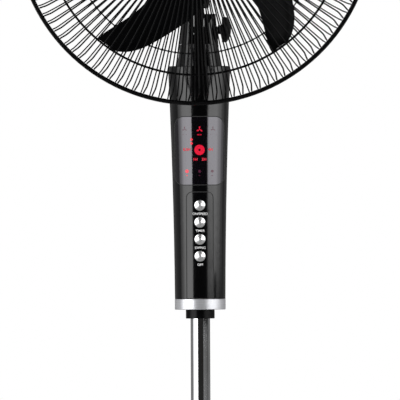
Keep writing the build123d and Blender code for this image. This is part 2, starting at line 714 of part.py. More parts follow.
def motor_cover():
    """Domed rear cover of the motor, vented at the back."""
    outer = revolve(cover_profile(0), Axis.Y)
    inner = revolve(cover_profile(COVER_WALL), Axis.Y)
    cover = outer - inner
    vents = 24
    for i in range(vents):
        slot = block(-1.5, 1.5, 30, 100, 20, 44)
        cover -= Rot(0, 360.0 * (i + 0.5) / vents, 0) * slot
    cover = on_fan_axis(cover)
    foot_y = CORE_BACK_Y + 14.5
    way = block(FAN_X - 15.6, FAN_X + 15.6, foot_y - 1.6, foot_y + 7.6, HUB_Z - 70, HUB_Z - 45)
    return cover - way


def motor_front_cover():
    """Front cover of the motor, with the threaded nose for the guard nut."""
    edge = COVER_FRONT_Y - GAP
    return turn_fan((12.5, edge - 3), (COVER_R - 4, edge - 3), (COVER_R - 4, edge),
                    (COVER_R, edge), (COVER_R, edge - 5), (COVER_R - 5, FACE_Y), (NOSE_R, FACE_Y),
                    (NOSE_R, NOSE_Y), (11.5, NOSE_Y), (11.5, FACE_Y + 1), (12.5, FACE_Y + 2))


def motor_shaft():
    """Shaft from the rear bearing to the blade nut."""
    shaft = turn_fan((0, SHAFT_FRONT_Y), (SHAFT_R - 0.6, SHAFT_FRONT_Y),
                     (SHAFT_R, SHAFT_FRONT_Y + 0.6), (SHAFT_R, SHAFT_BACK_Y - 0.6),
                     (SHAFT_R - 0.6, SHAFT_BACK_Y), (0, SHAFT_BACK_Y))
    return shaft - rod((FAN_X, PIN_Y, HUB_Z - 9), (FAN_X, PIN_Y, HUB_Z + 9), PIN_R + GAP)


def rotor_core():
    """Squirrel-cage rotor on the shaft."""
    bore = SHAFT_R + GAP
    return turn_fan((bore, CORE_FRONT_Y - 3), (12, CORE_FRONT_Y - 3), (12, CORE_FRONT_Y),
                    (ROTOR_R, CORE_FRONT_Y), (ROTOR_R, CORE_BACK_Y), (12, CORE_BACK_Y),
                    (12, CORE_BACK_Y + 3), (bore, CORE_BACK_Y + 3))


def drive_pin():
    """Cross pin that drives the blade hub."""
    return rod((FAN_X, PIN_Y, HUB_Z - 9), (FAN_X, PIN_Y, HUB_Z + 9), PIN_R)


# ---- blade --------------------------------------------------------------------------------
BLADE_Y = -101.0
HUB_R = 44.0
HUB_FRONT_Y = -120.0
HUB_BACK_Y = -82.0
BLADE_T = 2.4
# stations along the blade: distance from the shaft, sweep of its middle in degrees from
# straight down towards -X, half chord, half depth along the shaft
BLADE_STATIONS = (
    (36.0, 2.0, 13.0, 15.5),
    (60.0, 4.5, 24.5, 17.0),
    (88.0, 11.5, 30.5, 16.5),
    (115.0, 19.5, 28.0, 15.0),
    (140.0, 26.5, 24.5, 12.5),
    (160.0, 31.2, 22.5, 10.0),
    (174.0, 34.6, 18.0, 7.0),
    (181.0, 36.8, 12.0, 4.0),
)


def blade_section(distance, half, depth):
    """Cambered closed section of the blade, in a plane across the blade."""
    bow = 0.16 * half
    slope = sqrt(half * half + depth * depth)
    nx, ny = depth / slope, half / slope
    half_t = BLADE_T / 2 if half > 10 else BLADE_T / 2.6
    mid = (nx * bow, ny * bow)
    face = ThreePointArc((-half - nx * half_t, depth - ny * half_t),
                         (mid[0] - nx * half_t, mid[1] - ny * half_t),
                         (half - nx * half_t, -depth - ny * half_t))
    back = ThreePointArc((-half + nx * half_t, depth + ny * half_t),
                         (mid[0] + nx * half_t, mid[1] + ny * half_t),
                         (half + nx * half_t, -depth + ny * half_t))
    ends = [Line(face @ 0, back @ 0), Line(face @ 1, back @ 1)]
    return Wire([*face.edges(), ends[1].edges()[0], *back.edges(), ends[0].edges()[0]])


def blade_vane():
    """One swept and twisted vane, hanging straight down from the shaft."""
    wires = []
    for distance, sweep_deg, half, depth in BLADE_STATIONS:
        plane = Plane(origin=(0, BLADE_Y, -distance), x_dir=(1, 0, 0), z_dir=(0, 0, -1))
        wire = Rot(0, sweep_deg, 0) * (plane * blade_section(distance, half, depth))
        wires.append(wire)
    return Solid.make_loft(wires)


def fan_blade():
    """Moulded blade: cup-shaped hub with a keyed boss and the vanes round it."""
    wall = 2.4
    hub = revolve(make_face(Polyline(
        (SHAFT_R + RUN, HUB_FRONT_Y - 1), (20, HUB_FRONT_Y - 1), (HUB_R - 4, HUB_FRONT_Y + 1),
        (HUB_R, HUB_FRONT_Y + 5), (HUB_R, HUB_BACK_Y), (HUB_R - wall, HUB_BACK_Y),
        (HUB_R - wall, HUB_FRONT_Y + 6.5), (20, HUB_FRONT_Y + 2.5), (10, HUB_FRONT_Y + 2.5),
        (10, PIN_Y - 2), (SHAFT_R + RUN, PIN_Y - 2), close=True)), Axis.Y)
    inside = revolve(make_face(Polyline((0, -160), (HUB_R - wall + 0.2, -160),
                                        (HUB_R - wall + 0.2, -40), (0, -40), close=True)), Axis.Y)
    vane = blade_vane() - inside
    moulding = hub
    for i in range(BLADES):
        moulding += Rot(0, 360.0 * i / BLADES, 0) * vane
    boss = rod((0, PIN_Y - 2.2, 0), (0, PIN_Y + 1.5, 0), 12) - rod((0, -90, 0), (0, -70, 0), 4.05)
    key = block(-PIN_R - 0.15, PIN_R + 0.15, PIN_Y - PIN_R - 0.1, PIN_Y + 4, -14, 14)
    return on_fan_axis(moulding + (boss - key))


def blade_nut():
    """Domed nut that holds the blade on the shaft."""
    seat = HUB_FRONT_Y - 1 - GAP
    nut = turn_fan((0, seat - 14), (6, seat - 13), (12, seat - 10), (16.5, seat - 4), (17, seat),
                   (SHAFT_R + GAP, seat), (SHAFT_R + GAP, SHAFT_FRONT_Y - 0.3),
                   (0, SHAFT_FRONT_Y - 0.3))
    for i in range(6):
        a = radians(60.0 * i)
        x, z = FAN_X + 19.5 * cos(a), HUB_Z + 19.5 * sin(a)
        nut -= rod((x, seat - 20, z), (x, seat + 1, z), 4.5)
    return nut


# ---- guard --------------------------------------------------------------------------------
RING_SEAT_R = 216.5           # middle of the two rim wires inside the band
RIM_WIRE_R = 1.75
RIB_END_R = RING_SEAT_R - RIM_WIRE_R - FRONT_RIB_R - GAP
FRONT_RING_R = 183.2
REAR_RING_R = 155.8
PLATE_FRONT_Y = FACE_Y - 2.0
REAR_START = (38.0, PLATE_FRONT_Y - REAR_RIB_R - GAP)
REAR_TURN = (207.0, -64.0)
REAR_BEND_R = 40.0
FRONT_START = (30.0, -179.0)
FRONT_TURN = (205.0, -160.0)
FRONT_BEND_R = 9.0
HOOK_ANGLE = 0.65             # the front ribs slant this far round before the rim
MEDALLION_R = 50.0


def rib_point(radius, y, angle):
    """Point of a rib, its angle counted from straight down towards +X."""
    a = radians(angle)
    return (radius * sin(a), y, -radius * cos(a))


def rib(points, bend_r, wire_r):
    """A bent round wire through three points."""
    path = FilletPolyline(*points, radius=[bend_r])
    return sweep(Plane(origin=path @ 0, z_dir=path % 0) * Circle(wire_r), path=path)


def ribs(one, phase):
    """One rib repeated all round the shaft."""
    return [on_fan_axis(Rot(0, RIB_STEP * (i + phase), 0) * one) for i in range(RIBS)]


def rear_ribs():
    """Wires of the rear guard: flat out from the plate, then forward to the rim."""
    end_r = RIB_END_R + FRONT_RIB_R - REAR_RIB_R
    points = [rib_point(*REAR_START, 0), rib_point(*REAR_TURN, 0),
              rib_point(end_r, RIM_Y + 1.5, 0)]
    return ribs(rib(points, REAR_BEND_R, REAR_RIB_R), 0.0)


def front_ribs():
    """Wires of the front guard: shallow cone, then a slanted hook back to the rim."""
    points = [rib_point(*FRONT_START, 0), rib_point(*FRONT_TURN, 0),
              rib_point(RIB_END_R, RIM_Y - 1.5, -HOOK_ANGLE)]
    return ribs(rib(points, FRONT_BEND_R, FRONT_RIB_R), 0.5)


def along(start, end, radius):
    """The y of a straight run at a radius."""
    return start[1] + (end[1] - start[1]) * (radius - start[0]) / (end[0] - start[0])


def rear_rings():
    """Rim wire and stiffening ring of the rear guard."""
    ring_r = 0.8
    back = along(REAR_START, REAR_TURN, REAR_RING_R) + REAR_RIB_R + ring_r + 0.05
    return [ring_fan(RING_SEAT_R, RIM_Y + 2.6, RIM_WIRE_R), ring_fan(REAR_RING_R, back, ring_r)]


def front_rings():
    """Rim wire, stiffening ring and centre ring of the front guard."""
    ring_r = 1.35
    back = along(FRONT_START, FRONT_TURN, FRONT_RING_R) + FRONT_RIB_R + ring_r + 0.08
    inner = along(FRONT_START, FRONT_TURN, 42.0) + FRONT_RIB_R + 1.5 + 0.08
    return [ring_fan(RING_SEAT_R, RIM_Y - 2.6, RIM_WIRE_R), ring_fan(FRONT_RING_R, back, ring_r),
            ring_fan(42.0, inner, 1.5)]


def rear_guard_plate():
    """Stamped plate that the rear ribs are welded to."""
    plate = turn_fan((NOSE_R + 0.2, FACE_Y - GAP), (50, FACE_Y - GAP), (50, PLATE_FRONT_Y),
                     (NOSE_R + 0.2, PLATE_FRONT_Y))
    return plate


def guard_nut():
    """Ring nut that clamps the rear guard to the motor's nose."""
    seat = PLATE_FRONT_Y - GAP
    nut = turn_fan((NOSE_R + GAP, seat), (33, seat), (33, seat - 4), (30, seat - 10),
                   (NOSE_R + GAP, seat - 10))
    grips = 12
    for i in range(grips):
        a = radians(360.0 * i / grips)
        x, z = FAN_X + 35.5 * cos(a), HUB_Z + 35.5 * sin(a)
        nut -= rod((x, seat - 20, z), (x, seat + 1, z), 4.5)
    return nut


LUG_H = 9.0
LUG_GAP = 1.2


def guard_rim():
    """Channel band round both rim wires, slit at the top between two lugs."""
    half = RIM_WIDTH / 2
    web = 1.6
    lip = RING_SEAT_R - 0.2
    band = turn_fan((lip, RIM_Y - half), (GUARD_R - 1, RIM_Y - half), (GUARD_R, RIM_Y - half + 1),
                    (GUARD_R, RIM_Y + half - 1), (GUARD_R - 1, RIM_Y + half), (lip, RIM_Y + half),
                    (lip, RIM_Y + half - 1.4), (GUARD_R - web, RIM_Y + half - 1.4),
                    (GUARD_R - web, RIM_Y - half + 1.4), (lip, RIM_Y - half + 1.4))
    top = HUB_Z + GUARD_R
    for side in (-1, 1):
        near = FAN_X + side * LUG_GAP
        far = FAN_X + side * (LUG_GAP + 4)
        band += block(min(near, far), max(near, far), RIM_Y - half + 1, RIM_Y + half - 1,
                      top - 1.2, top + LUG_H)
    band -= block(FAN_X - LUG_GAP, FAN_X + LUG_GAP, RIM_Y - 20, RIM_Y + 20, top - 12, top + 20)
    return band - rod((FAN_X - 20, RIM_Y, top + 4.5), (FAN_X + 20, RIM_Y, top + 4.5), 1.6)


def rim_screw():
    """Screw and nut that close the band."""
    z = HUB_Z + GUARD_R + 4.5
    side = LUG_GAP + 4 + GAP
    shank = rod((FAN_X - side - 3, RIM_Y, z), (FAN_X + side + 3, RIM_Y, z), 1.5)
    head = rod((FAN_X + side, RIM_Y, z), (FAN_X + side + 2.4, RIM_Y, z), 3.0)
    nut_plane = Plane(origin=(FAN_X - side, RIM_Y, z), z_dir=(-1, 0, 0))
    nut = extrude(nut_plane * RegularPolygon(3.0, 6), 2.2)
    slot = block(FAN_X + side + 1.6, FAN_X + side + 4, RIM_Y - 4, RIM_Y + 4, z - 0.5, z + 0.5)
    return shank + head + nut - slot


def front_medallion():
    """Plain domed centre cap of the front guard."""
    back = along(FRONT_START, FRONT_TURN, 30.0) - FRONT_RIB_R - 0.1
    profile = make_face([
        ThreePointArc((0, back - 8), (26, back - 6.6), (MEDALLION_R - 1.5, back - 1.5)),
        Line((MEDALLION_R - 1.5, back - 1.5), (MEDALLION_R, back)),
        Line((MEDALLION_R, back), (0, back)),
        Line((0, back), (0, back - 8)),
    ])
    return on_fan_axis(revolve(profile, Axis.Y))


# ---- write every sub-part -----------------------------------------------------------------
front_shell, rear_shell = shell_halves()

save("base_cover", base_cover())
save("base_plate", base_plate())
save("base_weight", base_weight())
save("base_feet", *base_feet())
save("base_socket", base_socket())
save("base_screws", *base_screws())
save("outer_pole", outer_pole())
save("pole_bush", pole_bush())
save("height_clamp", height_clamp())
save("height_knob_stud", height_knob_stud())
save("height_knob_grip", height_knob_grip())
save("inner_pole", inner_pole())
save("pole_stop", pole_stop())
save("pole_collar", pole_collar())
save("trim_ring", trim_ring())
save("column_front_shell", front_shell)
save("column_rear_shell", rear_shell)
save("shell_screws", *shell_screws())
save("display_window", display_window())
save("button_strip", button_strip())
save("control_board", control_board())
save("tact_switches", *tact_switches())
save("cord_gland", cord_gland())
save("neck_cover", neck_cover())
save("neck_yoke", neck_yoke())
save("tilt_bolt", tilt_bolt())
for button, height in zip(BUTTON_NAMES, BUTTON_Z):
    save("button_" + button, push_button(height))
save("tilt_knob", tilt_knob())
save("tilt_bracket", tilt_bracket())
save("swing_spindle", swing_spindle())
save("sector_gear", sector_gear())
save("gear_case", gear_case())
save("gear_case_lid", gear_case_lid())
save("swing_bush", swing_bush())
save("swing_motor", swing_motor())
save("swing_pinion", swing_pinion())
save("motor_stator", motor_stator())
save("motor_windings", *motor_windings())
save("motor_front_bell", motor_front_bell())
save("motor_rear_bell", motor_rear_bell())
save("motor_bearings", *motor_bearings())
save("motor_cover", motor_cover())
save("motor_front_cover", motor_front_cover())
save("motor_shaft", motor_shaft())
save("rotor_core", rotor_core())
save("drive_pin", drive_pin())
save("fan_blade", fan_blade())
save("blade_nut", blade_nut())
save("rear_guard_plate", rear_guard_plate())
save("guard_nut", guard_nut())
save("rear_guard_ribs", *rear_ribs())
save("rear_guard_rings", *rear_rings())
save("guard_rim", guard_rim())
save("rim_screw", rim_screw())
save("front_guard_ribs", *front_ribs())
save("front_guard_rings", *front_rings())
save("front_medallion", front_medallion())
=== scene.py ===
import math
import bpy
from mathutils import Matrix, Vector


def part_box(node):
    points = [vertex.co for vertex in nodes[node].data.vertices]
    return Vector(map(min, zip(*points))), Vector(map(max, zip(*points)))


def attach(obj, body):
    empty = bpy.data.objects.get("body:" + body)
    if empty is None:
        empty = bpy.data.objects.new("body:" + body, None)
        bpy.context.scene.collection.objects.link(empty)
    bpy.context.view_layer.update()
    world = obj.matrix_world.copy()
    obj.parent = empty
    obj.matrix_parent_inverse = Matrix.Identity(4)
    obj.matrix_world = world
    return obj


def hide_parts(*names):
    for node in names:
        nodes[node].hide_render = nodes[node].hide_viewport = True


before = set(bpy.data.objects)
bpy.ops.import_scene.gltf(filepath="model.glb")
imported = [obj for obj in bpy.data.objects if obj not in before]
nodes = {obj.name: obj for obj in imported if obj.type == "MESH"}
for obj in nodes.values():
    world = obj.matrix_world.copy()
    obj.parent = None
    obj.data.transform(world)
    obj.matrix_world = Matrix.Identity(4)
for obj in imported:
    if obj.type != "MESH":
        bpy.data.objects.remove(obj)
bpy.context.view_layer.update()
MM = 0.001

FAN_X = -5.0 * MM                 # the fan shaft stands beside the pole's axis
FAN_Z = 1100.0 * MM
RIBS = 120                        # wires in each half of the guard
RIB_STEP = 360.0 / RIBS
FRONT_RING_MM = 183.2
CENTRE_RING_MM = 42.0
REAR_RING_MM = 155.8
BUTTON_MM = 6.65
WINDOW_CORNER_MM = 11.0
STRIP_CORNER_MM = 7.0
IN_FRONT = -60 * MM               # flat marks are drawn here, then laid on the column
BUTTONS = (("speed", "ON/SPEED"), ("timer", "TIMER"), ("swing", "SWING"), ("off", "OFF"))


# ---- working with meshes ------------------------------------------------------------------
def drop_selection():
    """Leaves edit mode and lets go of everything."""
    if bpy.context.object and bpy.context.object.mode != "OBJECT":
        bpy.ops.object.mode_set(mode="OBJECT")
    bpy.ops.object.select_all(action="DESELECT")


def take(obj):
    """Makes one object the selected and active one."""
    drop_selection()
    obj.select_set(True)
    bpy.context.view_layer.objects.active = obj
    return obj


def named(name):
    """Names the object that an operator has just added."""
    obj = bpy.context.object
    obj.name = name
    obj.data.name = name
    return obj


def edit(obj, kind="FACE"):
    """Opens a mesh for editing with nothing picked."""
    take(obj)
    bpy.ops.object.mode_set(mode="EDIT")
    bpy.ops.mesh.select_mode(type=kind)
    bpy.ops.mesh.select_all(action="DESELECT")


def pick_faces(obj, wanted):
    """Picks faces by their middle and normal, and stays in edit mode."""
    edit(obj, "FACE")
    bpy.ops.object.mode_set(mode="OBJECT")
    for face in obj.data.polygons:
        face.select = wanted(face.center, face.normal)
    bpy.ops.object.mode_set(mode="EDIT")


def pick_edges(obj, wanted):
    """Picks edges by their two ends, and stays in edit mode."""
    edit(obj, "EDGE")
    bpy.ops.object.mode_set(mode="OBJECT")
    points = obj.data.vertices
    for edge in obj.data.edges:
        edge.select = wanted(points[edge.vertices[0]].co, points[edge.vertices[1]].co)
    bpy.ops.object.mode_set(mode="EDIT")


def settle(obj):
    """Moves the object's place into its mesh."""
    take(obj)
    bpy.ops.object.transform_apply(location=True, rotation=True, scale=True)
    return obj


def apply_modifiers(obj):
    """Applies every modifier in order."""
    take(obj)
    for name in [m.name for m in obj.modifiers]:
        bpy.ops.object.modifier_apply(modifier=name)
    return obj


def outward(obj):
    """Merges doubles and turns every face outwards."""
    edit(obj)
    bpy.ops.mesh.select_all(action="SELECT")
    bpy.ops.mesh.remove_doubles(threshold=0.000002)
    bpy.ops.mesh.normals_make_consistent(inside=False)
    drop_selection()
    return obj


def smooth(obj, angle=35.0):
    """Smooth shading with the sharp edges kept."""
    take(obj)
    bpy.ops.object.shade_smooth_by_angle(angle=math.radians(angle))
    return obj


def join(name, parts):
    """Joins finished parts into one piece."""
    drop_selection()
    for part in parts:
        part.select_set(True)
    bpy.context.view_layer.objects.active = parts[0]
    if len(parts) > 1:
        bpy.ops.object.join()
    return named(name)


def copied(obj):
    """A copy with its own mesh."""
    twin = obj.copy()
    twin.data = obj.data.copy()
    bpy.context.scene.collection.objects.link(twin)
    return twin


def finish_piece(obj, body, material):
    """Gives a piece its finish and its body."""
    obj.data.materials.clear()
    obj.data.materials.append(material)
    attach(obj, body)
    return obj


# ---- effects shared by the finishes -------------------------------------------------------
def new_group(name, inputs, outputs):
    """A shader group with named sockets; returns the tree and its two ends."""
    tree = bpy.data.node_groups.new(name, "ShaderNodeTree")
    for label, kind, value in inputs:
        socket = tree.interface.new_socket(label, in_out="INPUT", socket_type="NodeSocket" + kind)
        if value is not None:
            socket.default_value = value
    for label, kind in outputs:
        tree.interface.new_socket(label, in_out="OUTPUT", socket_type="NodeSocket" + kind)
    return tree, tree.nodes.new("NodeGroupInput"), tree.nodes.new("NodeGroupOutput")


def maths(tree, operation, first, second=None):
    """One arithmetic node; numbers are set and sockets are linked."""
    node = tree.nodes.new("ShaderNodeMath")
    node.operation = operation
    for index, value in enumerate((first, second)):
        if value is None:
            continue
        if isinstance(value, (int, float)):
            node.inputs[index].default_value = value
        else:
            tree.links.new(value, node.inputs[index])
    return node.outputs[0]


def spread(tree, value, low, high, source=(0.0, 1.0)):
    """Maps a value from one range to another."""
    node = tree.nodes.new("ShaderNodeMapRange")
    tree.links.new(value, node.inputs["Value"])
    node.inputs["From Min"].default_value = source[0]
    node.inputs["From Max"].default_value = source[1]
    for label, end in (("To Min", low), ("To Max", high)):
        if isinstance(end, (int, float)):
            node.inputs[label].default_value = end
        else:
            tree.links.new(end, node.inputs[label])
    return node.outputs["Result"]


def noise(tree, vector, scale, detail=2.0, roughness=0.5):
    """A noise node read at a vector."""
    node = tree.nodes.new("ShaderNodeTexNoise")
    node.inputs["Detail"].default_value = detail
    node.inputs["Roughness"].default_value = roughness
    tree.links.new(vector, node.inputs["Vector"])
    if isinstance(scale, (int, float)):
        node.inputs["Scale"].default_value = scale
    else:
        tree.links.new(scale, node.inputs["Scale"])
    return node.outputs["Fac"]


def make_skin_group():
    """Moulded or painted skin: fine grain, slow orange peel, smudges and a little dust on top."""
    tree, start, end = new_group(
        "moulded_skin",
        [("Vector", "Vector", None), ("Grain per metre", "Float", 2500.0),
         ("Peel per metre", "Float", 160.0), ("Grain share", "Float", 0.5),
         ("Rough low", "Float", 0.1), ("Rough high", "Float", 0.2), ("Dust", "Float", 0.1)],
        [("Roughness", "Float"), ("Tone", "Float"), ("Height", "Float"), ("Dust", "Float")])
    vector = start.outputs["Vector"]
    grain = noise(tree, vector, start.outputs["Grain per metre"], 2.0)
    peel = noise(tree, vector, start.outputs["Peel per metre"], 1.0)
    smudge = noise(tree, vector, 23.0, 4.0, 0.62)
    share = start.outputs["Grain share"]
    fine = maths(tree, "MULTIPLY", grain, share)
    slow = maths(tree, "MULTIPLY", peel, maths(tree, "SUBTRACT", 1.0, share))
    height = maths(tree, "ADD", fine, slow)
    rough = spread(tree, smudge, start.outputs["Rough low"], start.outputs["Rough high"],
                   (0.3, 0.7))
    tone = spread(tree, smudge, 0.82, 1.18, (0.25, 0.75))
    geometry = tree.nodes.new("ShaderNodeNewGeometry")
    split = tree.nodes.new("ShaderNodeSeparateXYZ")
    tree.links.new(geometry.outputs["Normal"], split.inputs[0])
    upward = spread(tree, split.outputs["Z"], 0.0, 1.0, (0.45, 1.0))
    specks = spread(tree, noise(tree, vector, 900.0, 3.0, 0.7), 0.0, 1.0, (0.48, 0.72))
    dust = maths(tree, "MULTIPLY", maths(tree, "MULTIPLY", upward, specks),
                 start.outputs["Dust"])
    for label, value in (("Roughness", rough), ("Tone", tone), ("Height", height),
                         ("Dust", dust)):
        tree.links.new(value, end.inputs[label])
    return tree


def make_lines_group():
    """Fine parallel tool lines read along one distance, with uneven depth."""
    tree, start, end = new_group(
        "tool_lines",
        [("Distance", "Float", 0.0), ("Lines per metre", "Float", 3000.0),
         ("Rough low", "Float", 0.15), ("Rough high", "Float", 0.35)],
        [("Roughness", "Float"), ("Tone", "Float"), ("Height", "Float")])
    far = maths(tree, "MULTIPLY", start.outputs["Distance"], start.outputs["Lines per metre"])
    fine = tree.nodes.new("ShaderNodeTexNoise")
    fine.noise_dimensions = "1D"
    fine.inputs["Scale"].default_value = 1.0
    fine.inputs["Detail"].default_value = 3.0
    tree.links.new(far, fine.inputs["W"])
    rough = spread(tree, fine.outputs["Fac"], start.outputs["Rough low"],
                   start.outputs["Rough high"], (0.3, 0.7))
    tone = spread(tree, fine.outputs["Fac"], 0.86, 1.06, (0.3, 0.7))
    for label, value in (("Roughness", rough), ("Tone", tone),
                         ("Height", fine.outputs["Fac"])):
        tree.links.new(value, end.inputs[label])
    return tree


SKIN = make_skin_group()
LINES = make_lines_group()
DUST_COLOUR = (0.10, 0.098, 0.094)


# ---- finishes -----------------------------------------------------------------------------
class Finish:
    """A material under construction."""

    def __init__(self, name, colour, metal=0.0, ior=1.5):
        self.material = bpy.data.materials.new(name)
        self.material.use_nodes = True
        self.tree = self.material.node_tree
        self.shader = self.tree.nodes["Principled BSDF"]
        self.shader.inputs["Base Color"].default_value = (*colour, 1.0)
        self.shader.inputs["Metallic"].default_value = metal
        self.shader.inputs["IOR"].default_value = ior
        self.colour = colour
        self.place = self.tree.nodes.new("ShaderNodeTexCoord").outputs["Object"]

    def link(self, value, label):
        """Feeds a socket of the shader."""
        self.tree.links.new(value, self.shader.inputs[label])

    def group(self, tree, **values):
        """Places a shared effect with its own values."""
        node = self.tree.nodes.new("ShaderNodeGroup")
        node.node_tree = tree
        for label, value in values.items():
            node.inputs[label.replace("_", " ")].default_value = value
        return node

    def toned(self, tone, colour=None):
        """A colour, the finish's own unless another is given, varied in strength by a tone."""
        node = self.tree.nodes.new("ShaderNodeVectorMath")
        node.operation = "SCALE"
        node.inputs[0].default_value = colour or self.colour
        self.tree.links.new(tone, node.inputs["Scale"])
        return node.outputs[0]

    def mixed(self, mask, first, second):
        """Two colours mixed by a mask."""
        node = self.tree.nodes.new("ShaderNodeMix")
        node.data_type = "RGBA"
        self.tree.links.new(mask, node.inputs["Factor"])
        for index, value in ((6, first), (7, second)):
            if isinstance(value, tuple):
                node.inputs[index].default_value = (*value, 1.0)
            else:
                self.tree.links.new(value, node.inputs[index])
        return node.outputs[2]

    def bump(self, height, depth_mm, edge_mm=0.0):
        """Height to normal, over edges rounded by a small radius."""
        node = self.tree.nodes.new("ShaderNodeBump")
        node.inputs["Distance"].default_value = depth_mm * MM
        self.tree.links.new(height, node.inputs["Height"])
        if edge_mm:
            bevel = self.tree.nodes.new("ShaderNodeBevel")
            bevel.samples = 4
            bevel.inputs["Radius"].default_value = edge_mm * MM
            self.tree.links.new(bevel.outputs[0], node.inputs["Normal"])
        self.link(node.outputs[0], "Normal")

    def turned_about(self, axis):
        """Tangent that runs round an axis, for the stretched glints of turned metal."""
        node = self.tree.nodes.new("ShaderNodeTangent")
        node.direction_type = "RADIAL"
        node.axis = axis
        self.link(node.outputs[0], "Tangent")


def moulded(name, colour, rough, grain, depth_mm, dust=0.1, edge_mm=0.0, ior=1.5, metal=0.0,
            share=0.5, gloss=0.5, sheen=(1.0, 1.0, 1.0)):
    """Moulded or painted skin; grain and peel are given per metre."""
    f = Finish(name, colour, metal, ior)
    skin = f.group(SKIN, Grain_per_metre=grain[0], Peel_per_metre=grain[1], Grain_share=share,
                   Rough_low=rough[0], Rough_high=rough[1], Dust=dust)
    f.tree.links.new(f.place, skin.inputs["Vector"])
    f.link(f.mixed(skin.outputs["Dust"], f.toned(skin.outputs["Tone"]), DUST_COLOUR), "Base Color")
    f.link(skin.outputs["Roughness"], "Roughness")
    f.bump(skin.outputs["Height"], depth_mm, edge_mm)
    f.shader.inputs["Specular IOR Level"].default_value = gloss
    f.shader.inputs["Specular Tint"].default_value = (*sheen, 1.0)
    return f.material


def tooled(name, colour, distance, per_metre, rough, depth_mm, centre=(0, 0, 0), edge_mm=0.0,
           axis=None, stretch=0.0, metal=1.0):
    """Metal with tool lines; distance is X, Y, Z, or a pair of letters for rings in that plane."""
    f = Finish(name, colour, metal)
    shift = f.tree.nodes.new("ShaderNodeMapping")
    shift.inputs["Location"].default_value = tuple(-c for c in centre)
    f.tree.links.new(f.place, shift.inputs["Vector"])
    split = f.tree.nodes.new("ShaderNodeSeparateXYZ")
    f.tree.links.new(shift.outputs[0], split.inputs[0])
    if len(distance) == 1:
        far = split.outputs[distance]
    else:
        squares = [maths(f.tree, "MULTIPLY", split.outputs[a], split.outputs[a])
                   for a in distance]
        far = maths(f.tree, "SQRT", maths(f.tree, "ADD", *squares))
    lines = f.group(LINES, Lines_per_metre=per_metre, Rough_low=rough[0], Rough_high=rough[1])
    f.tree.links.new(far, lines.inputs["Distance"])
    f.link(f.toned(lines.outputs["Tone"]), "Base Color")
    f.link(lines.outputs["Roughness"], "Roughness")
    f.bump(lines.outputs["Height"], depth_mm, edge_mm)
    if axis:
        f.turned_about(axis)
        f.shader.inputs["Anisotropic"].default_value = stretch
    return f.material


def lit_mark(name, colour, strength):
    """Light behind a printed mark, uneven as small lamps make it; on the unlit marks this glow is
    painted light.
    """
    f = Finish(name, colour)
    skin = f.group(SKIN, Grain_per_metre=1800.0, Peel_per_metre=700.0, Rough_low=0.12,
                   Rough_high=0.2, Dust=0.0)
    f.tree.links.new(f.place, skin.inputs["Vector"])
    tone = spread(f.tree, skin.outputs["Height"], 0.7, 1.25, (0.3, 0.7))
    f.link(f.toned(tone), "Base Color")
    f.link(f.toned(tone), "Emission Color")
    f.shader.inputs["Emission Strength"].default_value = strength
    f.link(skin.outputs["Roughness"], "Roughness")
    f.bump(skin.outputs["Height"], 0.01)
    return f.material


GLOSS_BLACK = moulded("gloss_black_shell", (0.0006, 0.0006, 0.0008), (0.10, 0.15),
                      (2600.0, 95.0), 0.018, 0.02, 0.35, 1.5, share=0.15)
SATIN_BLACK = moulded("satin_black_moulding", (0.0014, 0.0014, 0.0016), (0.20, 0.28),
                      (3200.0, 300.0), 0.02, 0.03, 0.4, share=0.8, gloss=0.12)
BLADE_BLACK = moulded("satin_black_blade", (0.0012, 0.0012, 0.0014), (0.20, 0.30),
                      (2200.0, 120.0), 0.03, 0.01, 0.4, share=0.6, gloss=0.03)
CHROME = moulded("bright_chrome", (0.78, 0.785, 0.80), (0.03, 0.075), (1500.0, 40.0), 0.0012,
                 0.02, 0.3, metal=1.0, share=0.3)
TRIM_SILVER = tooled("satin_trim_ring", (0.62, 0.625, 0.65), "Z", 2600.0, (0.27, 0.36), 0.010,
                     edge_mm=0.4, metal=0.78)
RING_SILVER = tooled("satin_cap_ring", (0.42, 0.425, 0.44), "XZ", 3400.0, (0.2, 0.3), 0.008,
                     (FAN_X, 0, FAN_Z), 0.2, "Y", 0.4)
WIRE_BLACK = moulded("black_wire_enamel", (0.0010, 0.0010, 0.0012), (0.14, 0.24),
                     (1200.0, 260.0), 0.02, 0.01, share=0.3, gloss=0.09)
STEEL_BLACK = moulded("black_steel_enamel", (0.0020, 0.0020, 0.0022), (0.16, 0.26),
                      (1500.0, 220.0), 0.03, 0.03, 0.35, share=0.3, gloss=0.35)
SMOKED = moulded("smoked_window", (0.0007, 0.0004, 0.0011), (0.08, 0.11), (2600.0, 60.0), 0.006,
                 0.0, 0.2, 1.82, share=0.15, sheen=(0.95, 0.93, 1.0))
CAST_IRON = moulded("cast_iron_weight", (0.06, 0.06, 0.063), (0.55, 0.8), (900.0, 240.0), 0.35,
                    0.1, share=0.6, metal=0.7)
RUBBER = moulded("black_rubber_foot", (0.010, 0.010, 0.010), (0.65, 0.85), (2400.0, 500.0),
                 0.08, 0.15, 0.3)
NYLON = moulded("natural_nylon", (0.70, 0.68, 0.62), (0.32, 0.45), (1800.0, 200.0), 0.02, 0.05,
                0.25)
BRONZE = moulded("sintered_bronze", (0.50, 0.32, 0.14), (0.35, 0.5), (4200.0, 900.0), 0.03,
                 0.0, 0.2, metal=1.0, share=0.8)
CAST_ALLOY = moulded("cast_alloy_bell", (0.52, 0.53, 0.54), (0.4, 0.55), (1600.0, 300.0), 0.08,
                     0.05, 0.4, metal=1.0)
ZINC = moulded("zinc_plate", (0.60, 0.61, 0.63), (0.22, 0.36), (1900.0, 140.0), 0.01, 0.03,
               0.2, metal=1.0)
LAMINATED = tooled("stamped_stack", (0.30, 0.30, 0.32), "Y", 2000.0, (0.35, 0.5), 0.12)
RED_MARK = lit_mark("lit_red_mark", (0.40, 0.004, 0.020), 0.52)
